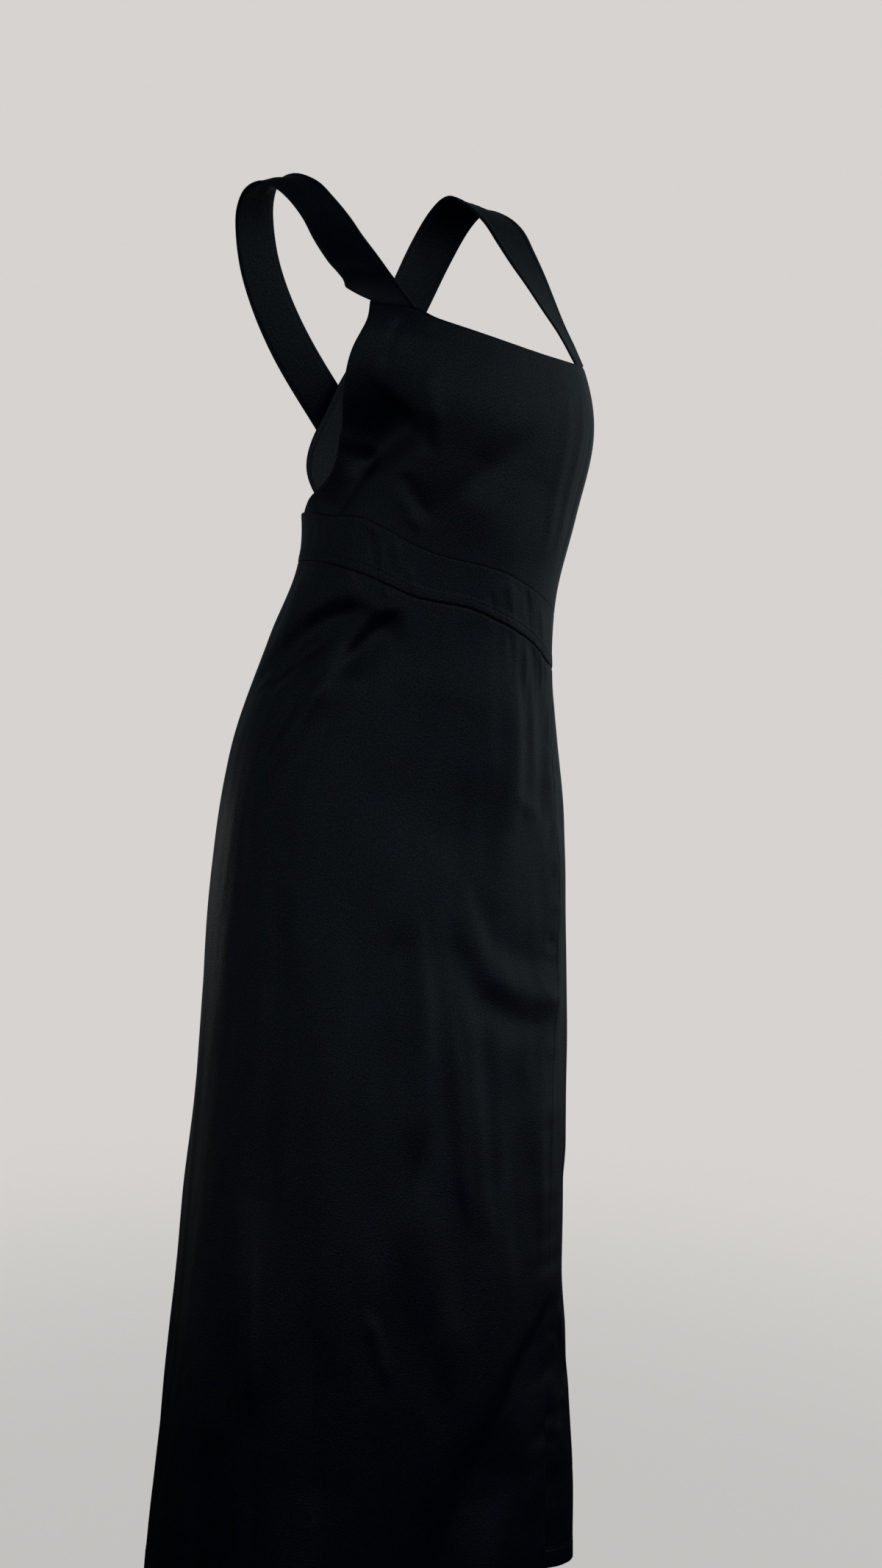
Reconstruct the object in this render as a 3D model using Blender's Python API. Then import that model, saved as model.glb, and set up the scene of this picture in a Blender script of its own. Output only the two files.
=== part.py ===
"""Pinafore dress: a long, sleeveless apron dress in black satin-backed cloth, as it hangs on a wearer.

Metres. +Z is up, the wearer faces -Y, and the wearer's left is +X. The origin is midway between the two
straps, where their undersides cross the shoulder line. The dress is a bib, a front and a back waistband,
a front and a back skirt panel, and two straps that cross on the back. Every piece is a thin cloth wall.

The dress is worked out on rings round the figure. A ring point has a turn, in degrees from the centre
front towards the wearer's left, and a level, which is the ring's mean height. SECTIONS gives each ring's
size and how far it slopes down towards the wearer's left, because the dress hangs askew, and FOLDS
moves its points in and out.
"""

import math

import bpy
from mathutils import Vector

# ---- driving dimensions ----

WALL = 0.0016
STRAP_WALL = 0.0020
STRAP_WIDTH = 0.041
SEAM_GAP = 0.0003
STRAP_GAP = 0.0005
CENTRE_X = 0.015

WAIST_LEVEL = -0.369
BAND_HEIGHT = 0.043
HEM_LEVEL = -1.265
FULL_TURN = 360.0

# The figure's clothed rings, from the chest down to the hem.
SECTIONS = (
    {"level": -0.090, "tilt": 0.040, "half_width": 0.132, "front": 0.100, "back": 0.090, "centre_y": -0.052},
    {"level": -0.142, "tilt": 0.047, "half_width": 0.146, "front": 0.137, "back": 0.092, "centre_y": -0.061},
    {"level": -0.190, "tilt": 0.055, "half_width": 0.148, "front": 0.148, "back": 0.092, "centre_y": -0.066},
    {"level": -0.250, "tilt": 0.070, "half_width": 0.132, "front": 0.130, "back": 0.088, "centre_y": -0.074},
    {"level": -0.310, "tilt": 0.084, "half_width": 0.116, "front": 0.105, "back": 0.086, "centre_y": -0.082},
    {"level": -0.369, "tilt": 0.089, "half_width": 0.116, "front": 0.093, "back": 0.092, "centre_y": -0.085},
    {"level": -0.430, "tilt": 0.088, "half_width": 0.132, "front": 0.098, "back": 0.112, "centre_y": -0.072},
    {"level": -0.520, "tilt": 0.072, "half_width": 0.156, "front": 0.111, "back": 0.129, "centre_y": -0.053},
    {"level": -0.620, "tilt": 0.056, "half_width": 0.167, "front": 0.122, "back": 0.135, "centre_y": -0.042},
    {"level": -0.800, "tilt": 0.042, "half_width": 0.176, "front": 0.132, "back": 0.141, "centre_y": -0.037},
    {"level": -1.000, "tilt": 0.034, "half_width": 0.188, "front": 0.144, "back": 0.149, "centre_y": -0.029},
    {"level": -1.150, "tilt": 0.030, "half_width": 0.199, "front": 0.153, "back": 0.157, "centre_y": -0.021},
    {"level": -1.300, "tilt": 0.030, "half_width": 0.210, "front": 0.160, "back": 0.165, "centre_y": -0.014},
)

# Turns of the side seams. The dress hangs turned on the figure, towards the wearer's right.
SIDE_SEAMS = (
    {"level": -0.320, "right": -118.0, "left": 60.0},
    {"level": -0.400, "right": -122.0, "left": 55.0},
    {"level": -0.450, "right": -126.0, "left": 49.0},
    {"level": -0.580, "right": -131.0, "left": 43.0},
    {"level": -0.900, "right": -134.0, "left": 41.0},
    {"level": -1.300, "right": -134.0, "left": 40.0},
)

# The bib's two side edges, from its top edge, 0, down to the waistband, 1.
BIB_EDGES = (
    {"down": 0.00, "right": -44.0, "left": 54.0},
    {"down": 0.10, "right": -46.0, "left": 56.0},
    {"down": 0.25, "right": -52.0, "left": 58.0},
    {"down": 0.42, "right": -57.0, "left": 60.0},
    {"down": 0.66, "right": -64.0, "left": 62.0},
    {"down": 0.84, "right": -74.0, "left": 63.0},
    {"down": 1.00, "right": -100.0, "left": 64.0},
)
BIB_TOP_LEVEL = -0.133
NECKLINE_SAG = 0.012

# The slit in the wearer's left seam: where it starts, and how far its edges have moved by the hem. The
# front edge draws back by SLIT_TURN. The back panel swings out beside it, and its corner lifts.
SLIT_TOP = -0.980
SLIT_TURN = 4.0
SLIT_SWING = 0.007
SLIT_LIFT = 0.028
SLIT_REACH = 30.0

# The largest folds: where each starts and ends, its half width in degrees, and how far it stands out.
# Those that reach below the hem run out at the hem. The ones past turn 80 are on the back.
FOLDS = (
    {"turn_top": -38, "top": -0.160, "turn_bottom": -56, "bottom": -0.330, "width": 14, "depth": -0.011},
    {"turn_top": -28, "top": -0.165, "turn_bottom": -30, "bottom": -0.265, "width": 5, "depth": 0.004},
    {"turn_top": 14, "top": -0.185, "turn_bottom": -36, "bottom": -0.305, "width": 8, "depth": -0.004},
    {"turn_top": -46, "top": -0.380, "turn_bottom": -92, "bottom": -0.452, "width": 6, "depth": -0.006},
    {"turn_top": -36, "top": -0.382, "turn_bottom": -56, "bottom": -0.460, "width": 5, "depth": -0.005},
    {"turn_top": -46, "top": -0.405, "turn_bottom": -72, "bottom": -0.540, "width": 6, "depth": 0.005},
    {"turn_top": 18, "top": -0.355, "turn_bottom": 18, "bottom": -0.540, "width": 5, "depth": 0.004},
    {"turn_top": 29, "top": -0.375, "turn_bottom": 28, "bottom": -0.500, "width": 4, "depth": 0.003},
    {"turn_top": 2, "top": -0.595, "turn_bottom": 44, "bottom": -0.690, "width": 8, "depth": 0.005},
    {"turn_top": -13, "top": -0.580, "turn_bottom": -10, "bottom": -0.980, "width": 6, "depth": 0.004},
    {"turn_top": 1, "top": -0.650, "turn_bottom": 7, "bottom": -0.900, "width": 5, "depth": 0.004},
    {"turn_top": 42, "top": -0.960, "turn_bottom": -6, "bottom": -1.200, "width": 9, "depth": -0.011},
    {"turn_top": -60, "top": -0.880, "turn_bottom": -58, "bottom": -1.080, "width": 6, "depth": 0.004},
    {"turn_top": -66, "top": -1.080, "turn_bottom": -63, "bottom": -1.450, "width": 8, "depth": -0.009},
    {"turn_top": -38, "top": -1.120, "turn_bottom": -36, "bottom": -1.450, "width": 9, "depth": 0.006},
    {"turn_top": 12, "top": -1.140, "turn_bottom": 16, "bottom": -1.450, "width": 10, "depth": 0.007},
    {"turn_top": -98, "top": -0.620, "turn_bottom": -102, "bottom": -1.450, "width": 10, "depth": -0.006},
    {"turn_top": 82, "top": -0.640, "turn_bottom": 84, "bottom": -1.450, "width": 11, "depth": -0.007},
    {"turn_top": 112, "top": -0.560, "turn_bottom": 110, "bottom": -1.450, "width": 12, "depth": 0.006},
    {"turn_top": 146, "top": -0.620, "turn_bottom": 150, "bottom": -1.450, "width": 12, "depth": -0.008},
    {"turn_top": 176, "top": -0.560, "turn_bottom": 178, "bottom": -1.450, "width": 12, "depth": 0.007},
    {"turn_top": 204, "top": -0.640, "turn_bottom": 202, "bottom": -1.450, "width": 11, "depth": -0.006},
)

# The straps' centre lines between the bib and the back waistband. The outer edge, the one nearer the
# arm, lies outer_drop below the inner edge and outer_back behind it.
RIGHT_STRAP = (
    {"x": -0.068, "y": -0.118, "z": -0.094, "outer_drop": 0.003, "outer_back": 0.006},
    {"x": -0.072, "y": -0.100, "z": -0.077, "outer_drop": 0.006, "outer_back": 0.001},
    {"x": -0.075, "y": -0.077, "z": -0.058, "outer_drop": 0.005, "outer_back": -0.003},
    {"x": -0.077, "y": -0.057, "z": -0.040, "outer_drop": 0.004, "outer_back": -0.006},
    {"x": -0.081, "y": -0.039, "z": -0.023, "outer_drop": 0.005, "outer_back": -0.008},
    {"x": -0.088, "y": -0.022, "z": -0.009, "outer_drop": 0.010, "outer_back": -0.011},
    {"x": -0.098, "y": -0.004, "z": -0.002, "outer_drop": 0.013, "outer_back": -0.016},
    {"x": -0.105, "y": 0.015, "z": -0.008, "outer_drop": 0.013, "outer_back": -0.012},
    {"x": -0.103, "y": 0.034, "z": -0.030, "outer_drop": 0.012, "outer_back": -0.008},
    {"x": -0.087, "y": 0.050, "z": -0.075, "outer_drop": 0.016, "outer_back": -0.004},
    {"x": -0.056, "y": 0.060, "z": -0.128, "outer_drop": 0.022, "outer_back": 0.000},
    {"x": -0.010, "y": 0.061, "z": -0.190, "outer_drop": 0.024, "outer_back": 0.002},
    {"x": 0.036, "y": 0.044, "z": -0.258, "outer_drop": 0.023, "outer_back": 0.006},
)
LEFT_STRAP = (
    {"x": 0.130, "y": -0.113, "z": -0.127, "outer_drop": 0.007, "outer_back": 0.022},
    {"x": 0.125, "y": -0.098, "z": -0.106, "outer_drop": 0.007, "outer_back": 0.018},
    {"x": 0.121, "y": -0.082, "z": -0.084, "outer_drop": 0.007, "outer_back": 0.015},
    {"x": 0.118, "y": -0.065, "z": -0.063, "outer_drop": 0.006, "outer_back": 0.013},
    {"x": 0.115, "y": -0.048, "z": -0.042, "outer_drop": 0.004, "outer_back": 0.011},
    {"x": 0.111, "y": -0.031, "z": -0.022, "outer_drop": 0.002, "outer_back": 0.011},
    {"x": 0.104, "y": -0.013, "z": -0.007, "outer_drop": 0.004, "outer_back": 0.009},
    {"x": 0.095, "y": 0.007, "z": 0.001, "outer_drop": 0.010, "outer_back": 0.002},
    {"x": 0.089, "y": 0.026, "z": -0.010, "outer_drop": 0.012, "outer_back": -0.006},
    {"x": 0.078, "y": 0.042, "z": -0.040, "outer_drop": 0.014, "outer_back": -0.008},
    {"x": 0.060, "y": 0.051, "z": -0.085, "outer_drop": 0.018, "outer_back": -0.004},
    {"x": 0.034, "y": 0.052, "z": -0.135, "outer_drop": 0.022, "outer_back": 0.000},
    {"x": 0.000, "y": 0.047, "z": -0.190, "outer_drop": 0.023, "outer_back": 0.002},
    {"x": -0.033, "y": 0.027, "z": -0.258, "outer_drop": 0.022, "outer_back": 0.006},
)
# Where each strap end is sewn: the turns of its inner and outer edge on the bib and on the back waistband.
RIGHT_STRAP_BIB = (-28.0, -44.0)
RIGHT_STRAP_BAND = (119.0, 145.0)
LEFT_STRAP_BIB = (38.0, 53.0)
LEFT_STRAP_BAND = (192.0, 166.0)
# The right strap's end is cut aslant, and its outer corner stands past the bib's corner by this much.
RIGHT_STRAP_OVERHANG = (-0.021, 0.008, 0.013)

FRONT_COLUMNS = 44
BACK_COLUMNS = 28
SKIRT_ROWS = 20
BAND_ROWS = 2
BIB_COLUMNS = 18
BIB_ROWS = 9
STRAP_ROWS = 30


# ---- ring points ----

def hermite(first, last, start, end, share):
    """A cubic from first to last with the given end slopes."""
    square = share * share
    cube = square * share
    return ((2 * cube - 3 * square + 1) * first + (cube - 2 * square + share) * start
            + (3 * square - 2 * cube) * last + (cube - square) * end)


def smooth_through(keys, values, at):
    """The value at one place on a smooth curve through values, whose keys rise."""
    at = min(max(at, keys[0]), keys[-1])
    index = 0
    while index < len(keys) - 2 and at > keys[index + 1]:
        index += 1

    def slope(place):
        low = max(place - 1, 0)
        high = min(place + 1, len(keys) - 1)
        return (values[high] - values[low]) / (keys[high] - keys[low])

    span = keys[index + 1] - keys[index]
    share = (at - keys[index]) / span
    return hermite(values[index], values[index + 1], slope(index) * span, slope(index + 1) * span, share)


def from_table(rows, key, at, column):
    """The value of a table's column where its key column is at."""
    ordered = sorted(rows, key=lambda row: row[key])
    return smooth_through([row[key] for row in ordered], [row[column] for row in ordered], at)


def soft_step(share):
    """0 below 0, 1 above 1, and a soft rise between."""
    share = min(max(share, 0.0), 1.0)
    return share * share * (3 - 2 * share)


def fold_depth(turn, level):
    """How far the folds move a ring point outwards."""
    total = 0.0
    for fold in FOLDS:
        down = (fold["top"] - level) / (fold["top"] - fold["bottom"])
        if 0.0 < down < 1.0:
            middle = fold["turn_top"] + (fold["turn_bottom"] - fold["turn_top"]) * down
            away = ((turn - middle + FULL_TURN / 2) % FULL_TURN - FULL_TURN / 2) / fold["width"]
            total += fold["depth"] * math.sin(math.pi * down) * math.exp(-away * away)
    return total


def ring_point(turn, level, out=0.0, up=0.0):
    """A point on the outside of the dress, moved outwards by out and up by up."""
    angle = math.radians(turn)
    width = from_table(SECTIONS, "level", level, "half_width")
    depth = from_table(SECTIONS, "level", level, "front" if math.cos(angle) > 0 else "back")
    centre_y = from_table(SECTIONS, "level", level, "centre_y")
    tilt = from_table(SECTIONS, "level", level, "tilt")
    sine = math.sin(angle)
    cosine = math.cos(angle)
    outward = Vector((sine / width, -cosine / depth, 0.0)).normalized()
    height = level - 0.5 * tilt * sine + up
    point = Vector((CENTRE_X + width * sine, centre_y - depth * cosine, height))
    return point + outward * (out + fold_depth(turn, level))


def half_gap_turn(level):
    """Half the gap at a side seam, as a turn."""
    return math.degrees(0.5 * SEAM_GAP / from_table(SECTIONS, "level", level, "front"))


def right_seam(level):
    return from_table(SIDE_SEAMS, "level", level, "right")


def left_seam(level):
    return from_table(SIDE_SEAMS, "level", level, "left")


def slit_share(level):
    """0 above the slit, rising to 1 at the hem."""
    return soft_step((SLIT_TOP - level) / (SLIT_TOP - HEM_LEVEL))


# ---- walls ----

def cloth_material(name):
    """Matt black cloth with a dull sheen."""
    material = bpy.data.materials.new(name)
    material.use_nodes = True
    shader = material.node_tree.nodes["Principled BSDF"]
    shader.inputs["Base Color"].default_value = (0.006, 0.007, 0.009, 1.0)
    shader.inputs["Roughness"].default_value = 0.55
    shader.inputs["Metallic"].default_value = 0.0
    return material


def add_wall(name, outer, inner):
    """One closed wall between two grids of points, row by row, with the outer grid facing out."""
    rows = len(outer)
    columns = len(outer[0])
    points = [point for row in outer + inner for point in row]
    behind = rows * columns
    faces = []
    for row in range(rows - 1):
        for column in range(columns - 1):
            a = row * columns + column
            b = a + 1
            c = b + columns
            d = a + columns
            faces.append((d, c, b, a))
            faces.append((a + behind, b + behind, c + behind, d + behind))
    rim = list(range(columns))
    rim += [row * columns + columns - 1 for row in range(1, rows)]
    rim += [(rows - 1) * columns + column for column in range(columns - 2, -1, -1)]
    rim += [row * columns for row in range(rows - 2, 0, -1)]
    for place, point in enumerate(rim):
        following = rim[(place + 1) % len(rim)]
        faces.append((point, following, following + behind, point + behind))
    mesh = bpy.data.meshes.new(name)
    mesh.from_pydata([tuple(point) for point in points], [], faces)
    mesh.update()
    mesh.shade_smooth()
    mesh.set_sharp_from_angle(angle=math.radians(50))
    mesh.materials.append(cloth_material(name + "_cloth"))
    item = bpy.data.objects.new(name, mesh)
    bpy.context.scene.collection.objects.link(item)
    return item


def spread(first, last, count):
    return [first + (last - first) * place / count for place in range(count + 1)]


# ---- skirt ----

def skirt_panel(name, columns, first_edge, last_edge, swing, lift):
    """A skirt panel between two side seams, moved out by swing and up by lift near the slit."""
    outer = []
    inner = []
    for level in spread(WAIST_LEVEL, HEM_LEVEL, SKIRT_ROWS):
        first = first_edge(level)
        last = last_edge(level)
        opening = slit_share(level)
        outer_row = []
        inner_row = []
        for turn in spread(first, last, columns):
            near = opening * soft_step(1 - (turn - first) / SLIT_REACH)
            outer_row.append(ring_point(turn, level, swing * near, lift * near))
            inner_row.append(ring_point(turn, level, swing * near - WALL, lift * near))
        outer.append(outer_row)
        inner.append(inner_row)
    add_wall(name, outer, inner)


def make_skirt():
    """The front and back skirt panels. The seam on the wearer's left is open below SLIT_TOP."""
    def front_right(level):
        return right_seam(level) + half_gap_turn(level)

    def front_left(level):
        return left_seam(level) - half_gap_turn(level) - SLIT_TURN * slit_share(level)

    def back_left(level):
        return left_seam(level) + half_gap_turn(level)

    def back_right(level):
        return right_seam(level) + FULL_TURN - half_gap_turn(level)

    skirt_panel("skirt_front", FRONT_COLUMNS, front_right, front_left, 0.0, 0.0)
    skirt_panel("skirt_back", BACK_COLUMNS, back_left, back_right, SLIT_SWING, SLIT_LIFT)


# ---- waistband ----

def band_wall(name, first_edge, last_edge, columns):
    """A stretch of the waistband, standing on the skirt's top edge."""
    outer = []
    inner = []
    for share in spread(1.0, 0.0, BAND_ROWS):
        level = WAIST_LEVEL + SEAM_GAP + (BAND_HEIGHT - SEAM_GAP) * share
        turns = spread(first_edge(level), last_edge(level), columns)
        outer.append([ring_point(turn, level) for turn in turns])
        inner.append([ring_point(turn, level, -WALL) for turn in turns])
    add_wall(name, outer, inner)


def make_waistband():
    """The inset band round the waist, in a front and a back piece."""
    def front_right(level):
        return right_seam(level) + half_gap_turn(level)

    def front_left(level):
        return left_seam(level) - half_gap_turn(level)

    def back_left(level):
        return left_seam(level) + half_gap_turn(level)

    def back_right(level):
        return right_seam(level) + FULL_TURN - half_gap_turn(level)

    band_wall("waistband_front", front_right, front_left, FRONT_COLUMNS)
    band_wall("waistband_back", back_left, back_right, BACK_COLUMNS)


# ---- bib ----

def neckline_level(across):
    return BIB_TOP_LEVEL - NECKLINE_SAG * math.sin(math.pi * across)


def bib_grid_point(across, down, out=0.0, up=0.0):
    """A point on the bib, from its right edge to its left edge and from its top edge to the band."""
    right = from_table(BIB_EDGES, "down", down, "right")
    left = from_table(BIB_EDGES, "down", down, "left")
    top = neckline_level(across)
    bottom = WAIST_LEVEL + BAND_HEIGHT + SEAM_GAP
    level = top + (bottom - top) * down
    return ring_point(right + (left - right) * across, level, out, up)


def make_bib():
    """The front bib, whose lower corners meet the side seams."""
    outer = []
    inner = []
    for down in spread(0.0, 1.0, BIB_ROWS):
        shares = spread(0.0, 1.0, BIB_COLUMNS)
        outer.append([bib_grid_point(across, down) for across in shares])
        inner.append([bib_grid_point(across, down, -WALL) for across in shares])
    add_wall("bib_front", outer, inner)


# ---- straps ----

def strap_lines(rows, outer_sign):
    """The inner, middle and outer line of a strap, a point to each row of its table."""
    lines = ([], [], [])
    for row in rows:
        drop = row["outer_drop"]
        back = row["outer_back"]
        aside = math.sqrt(STRAP_WIDTH ** 2 - drop ** 2 - back ** 2)
        across = Vector((outer_sign * aside, back, -drop))
        centre = Vector((row["x"], row["y"], row["z"]))
        for line, share in zip(lines, (-0.5, 0.0, 0.5)):
            line.append(centre + across * share)
    return lines


def smooth_line(points, count):
    """Evenly spaced points on a smooth curve through points."""
    keys = [0.0]
    for first, second in zip(points, points[1:]):
        keys.append(keys[-1] + (second - first).length)
    return [Vector([smooth_through(keys, [point[axis] for point in points], at) for axis in range(3)])
            for at in spread(0.0, keys[-1], count)]


def make_strap(name, rows, outer_sign, bib_points, band_points):
    """A flat strap from the bib's top edge, over the shoulder, to the back waistband's top edge."""
    lines = []
    for line, bib_point, band_point in zip(strap_lines(rows, outer_sign), bib_points, band_points):
        lines.append(smooth_line([bib_point] + line + [band_point], STRAP_ROWS))
    outer = []
    inner = []
    for place in range(STRAP_ROWS + 1):
        before = max(place - 1, 0)
        after = min(place + 1, STRAP_ROWS)
        along = lines[1][after] - lines[1][before]
        across = lines[2][place] - lines[0][place]
        face = along.cross(across) * outer_sign
        if place in (0, STRAP_ROWS):
            face.z = 0.0
        face.normalize()
        row = [line[place] for line in lines[::outer_sign]]
        outer.append([point + face * STRAP_WALL / 2 for point in row])
        inner.append([point - face * STRAP_WALL / 2 for point in row])
    add_wall(name, outer, inner)


def make_straps():
    """The right strap lies over the left one where they cross on the back."""
    def bib_point(turn):
        right = BIB_EDGES[0]["right"]
        left = BIB_EDGES[0]["left"]
        return bib_grid_point((turn - right) / (left - right), 0.0, -WALL / 2, STRAP_GAP)

    def band_points(turns):
        level = WAIST_LEVEL + BAND_HEIGHT
        middle = (turns[0] + turns[1]) / 2
        return [ring_point(turn, level, -WALL / 2, STRAP_GAP) for turn in (turns[0], middle, turns[1])]

    right_inner, right_corner = (bib_point(turn) for turn in RIGHT_STRAP_BIB)
    left_inner, left_corner = (bib_point(turn) for turn in LEFT_STRAP_BIB)
    left_middle = bib_point(sum(LEFT_STRAP_BIB) / 2)
    right_points = (right_inner, right_corner, right_corner + Vector(RIGHT_STRAP_OVERHANG))
    left_points = (left_inner, left_middle, left_corner)
    make_strap("strap_right", RIGHT_STRAP, -1, right_points, band_points(RIGHT_STRAP_BAND))
    make_strap("strap_left", LEFT_STRAP, 1, left_points, band_points(LEFT_STRAP_BAND))


for item in list(bpy.data.objects):
    bpy.data.objects.remove(item, do_unlink=True)
make_skirt()
make_waistband()
make_bib()
make_straps()
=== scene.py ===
"""A long pinafore dress in black crepe-backed satin, hanging in its worn shape with nobody in it."""

import math

import bpy
import numpy as np
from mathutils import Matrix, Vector, noise


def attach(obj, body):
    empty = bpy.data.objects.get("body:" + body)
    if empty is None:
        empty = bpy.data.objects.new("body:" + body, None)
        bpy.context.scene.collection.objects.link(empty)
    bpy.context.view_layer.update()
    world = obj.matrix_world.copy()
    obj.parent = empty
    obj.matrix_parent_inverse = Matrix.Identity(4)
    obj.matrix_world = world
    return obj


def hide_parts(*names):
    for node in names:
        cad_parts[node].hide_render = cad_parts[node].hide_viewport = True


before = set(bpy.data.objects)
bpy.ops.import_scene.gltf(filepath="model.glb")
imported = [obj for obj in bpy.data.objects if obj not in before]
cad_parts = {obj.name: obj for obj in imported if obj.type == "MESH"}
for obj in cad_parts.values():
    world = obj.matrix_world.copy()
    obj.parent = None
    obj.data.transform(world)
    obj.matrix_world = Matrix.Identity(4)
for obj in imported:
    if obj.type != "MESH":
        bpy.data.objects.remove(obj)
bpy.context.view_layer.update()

# ---- Front of the skirt ----
# One long panel of crepe-backed satin, satin side out, cut to flare a little from the waist to the hem.
# It hangs off the hips in soft vertical folds, and is dragged up into short creases below the waistband
# on the wearer's right. Its left edge is sewn to the back panel down to the slit, then hemmed.

WAIST_LEVEL = -0.369
HEM_LEVEL = -1.265
SLIT_TOP = -0.980
SLIT_TURN = 1.5
SLIT_CHANGE = 0.010
BAND_HEIGHT = 0.043
BAND_TOP = WAIST_LEVEL + BAND_HEIGHT
SINGLE_CLOTH = 0.0009
DOUBLE_CLOTH = 0.0015
CENTRE_X = 0.015


def in_metres(columns, rows):
    """The rows of a table given in mm, by the names of its columns."""
    return [dict(zip(columns, (value / 1000 for value in row))) for row in rows]


# Rings round the figure, from the chest to the hem. A level is a ring's mean height, and tilt is how
# much lower the ring is on the wearer's left than on the right, since the dress hangs askew.
RINGS = in_metres(("level", "tilt", "half_width", "front", "back", "centre_y"), (
    (-90, 40, 132, 100, 90, -52),
    (-142, 47, 146, 137, 92, -61),
    (-190, 55, 148, 148, 92, -66),
    (-250, 70, 132, 130, 88, -74),
    (-310, 84, 116, 105, 86, -82),
    (-369, 89, 116, 93, 92, -85),
    (-430, 88, 132, 98, 112, -72),
    (-520, 72, 156, 111, 129, -53),
    (-620, 56, 167, 122, 135, -42),
    (-800, 42, 176, 132, 141, -37),
    (-1000, 34, 188, 144, 149, -29),
    (-1150, 30, 199, 153, 157, -21),
    (-1300, 30, 210, 160, 165, -14),
))
# The side seams' turns. A turn is in degrees from the centre front towards the wearer's left.
SIDE_SEAMS = (
    {"level": -0.320, "right": -118, "left": 60},
    {"level": -0.400, "right": -122, "left": 55},
    {"level": -0.450, "right": -126, "left": 49},
    {"level": -0.580, "right": -131, "left": 43},
    {"level": -0.900, "right": -134, "left": 41},
    {"level": -1.300, "right": -134, "left": 40},
)
# The deep folds of the whole dress. A path is a turn and a level in mm at the top and at the bottom,
# width is half the fold's width in degrees, and depth is in mm outwards.
DEEP_FOLDS = (
    {"path": ((-38, -160), (-56, -330)), "width": 14, "depth": -11},
    {"path": ((-28, -165), (-30, -265)), "width": 5, "depth": 3},
    {"path": ((26, -185), (-30, -310)), "width": 7, "depth": -1.5},
    {"path": ((8, -230), (6, -520)), "width": 14, "depth": 3},
    {"path": ((18, -355), (18, -540)), "width": 5, "depth": 4},
    {"path": ((29, -375), (28, -500)), "width": 4, "depth": 3},
    {"path": ((-13, -580), (-10, -980)), "width": 6, "depth": 4},
    {"path": ((1, -650), (7, -900)), "width": 5, "depth": 4},
    {"path": ((-60, -880), (-58, -1080)), "width": 6, "depth": 4},
    {"path": ((-66, -1080), (-63, -1450)), "width": 8, "depth": -9},
    {"path": ((-38, -1120), (-36, -1450)), "width": 9, "depth": 6},
    {"path": ((12, -1140), (16, -1450)), "width": 10, "depth": 7},
    {"path": ((-98, -620), (-102, -1450)), "width": 10, "depth": -6},
    {"path": ((82, -640), (84, -1450)), "width": 11, "depth": -7},
    {"path": ((112, -560), (110, -1450)), "width": 12, "depth": 6},
    {"path": ((146, -620), (150, -1450)), "width": 12, "depth": -8},
    {"path": ((176, -560), (178, -1450)), "width": 12, "depth": 7},
    {"path": ((204, -640), (202, -1450)), "width": 11, "depth": -6},
)

# The waist seams wander off level where the dress is dragged: mm up at the waist seam and the seam above.
SEAM_WANDER = (
    {"turn": -112, "waist": 0, "top": -0.5}, {"turn": -75, "waist": 0, "top": -3.5},
    {"turn": -56, "waist": -1, "top": 1.5}, {"turn": -46, "waist": -2.2, "top": -1.3},
    {"turn": -31, "waist": -5, "top": -7.2}, {"turn": -20, "waist": -1.8, "top": -7},
    {"turn": -6, "waist": 4.4, "top": -2}, {"turn": 8, "waist": 5, "top": 2},
    {"turn": 26, "waist": 4.4, "top": 2.5}, {"turn": 46, "waist": -1.8, "top": 1},
    {"turn": 62, "waist": -2.5, "top": 0}, {"turn": 100, "waist": 0, "top": 0},
)
WANDER_REACH = 0.040


def read_curve(rows, key, at, column):
    """A column of a table where its key column is at, on a smooth curve through the rows."""
    ordered = sorted(rows, key=lambda row: row[key])
    keys = np.array([row[key] for row in ordered])
    values = np.array([row[column] for row in ordered])
    slopes = np.array([
        (values[min(i + 1, len(keys) - 1)] - values[max(i - 1, 0)])
        / (keys[min(i + 1, len(keys) - 1)] - keys[max(i - 1, 0)])
        for i in range(len(keys))
    ])
    at = np.clip(at, keys[0], keys[-1])
    low = np.clip(np.searchsorted(keys, at) - 1, 0, len(keys) - 2)
    span = keys[low + 1] - keys[low]
    share = (at - keys[low]) / span
    square = share * share
    cube = square * share
    return ((2 * cube - 3 * square + 1) * values[low] + (cube - 2 * square + share) * slopes[low] * span
            + (3 * square - 2 * cube) * values[low + 1] + (cube - square) * slopes[low + 1] * span)


def soft_step(share):
    share = np.clip(share, 0.0, 1.0)
    return share * share * (3 - 2 * share)


def wander(turn, level):
    """How far the waist seams, and the cloth near them, are off level."""
    waist = read_curve(SEAM_WANDER, "turn", turn, "waist")
    top = read_curve(SEAM_WANDER, "turn", turn, "top")
    up = np.clip((level - WAIST_LEVEL) / BAND_HEIGHT, 0, 1)
    away = np.maximum(WAIST_LEVEL - level, 0) + np.maximum(level - BAND_TOP, 0)
    return (waist + (top - waist) * up) / 1000 * np.exp(-(away / WANDER_REACH) ** 2)


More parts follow.
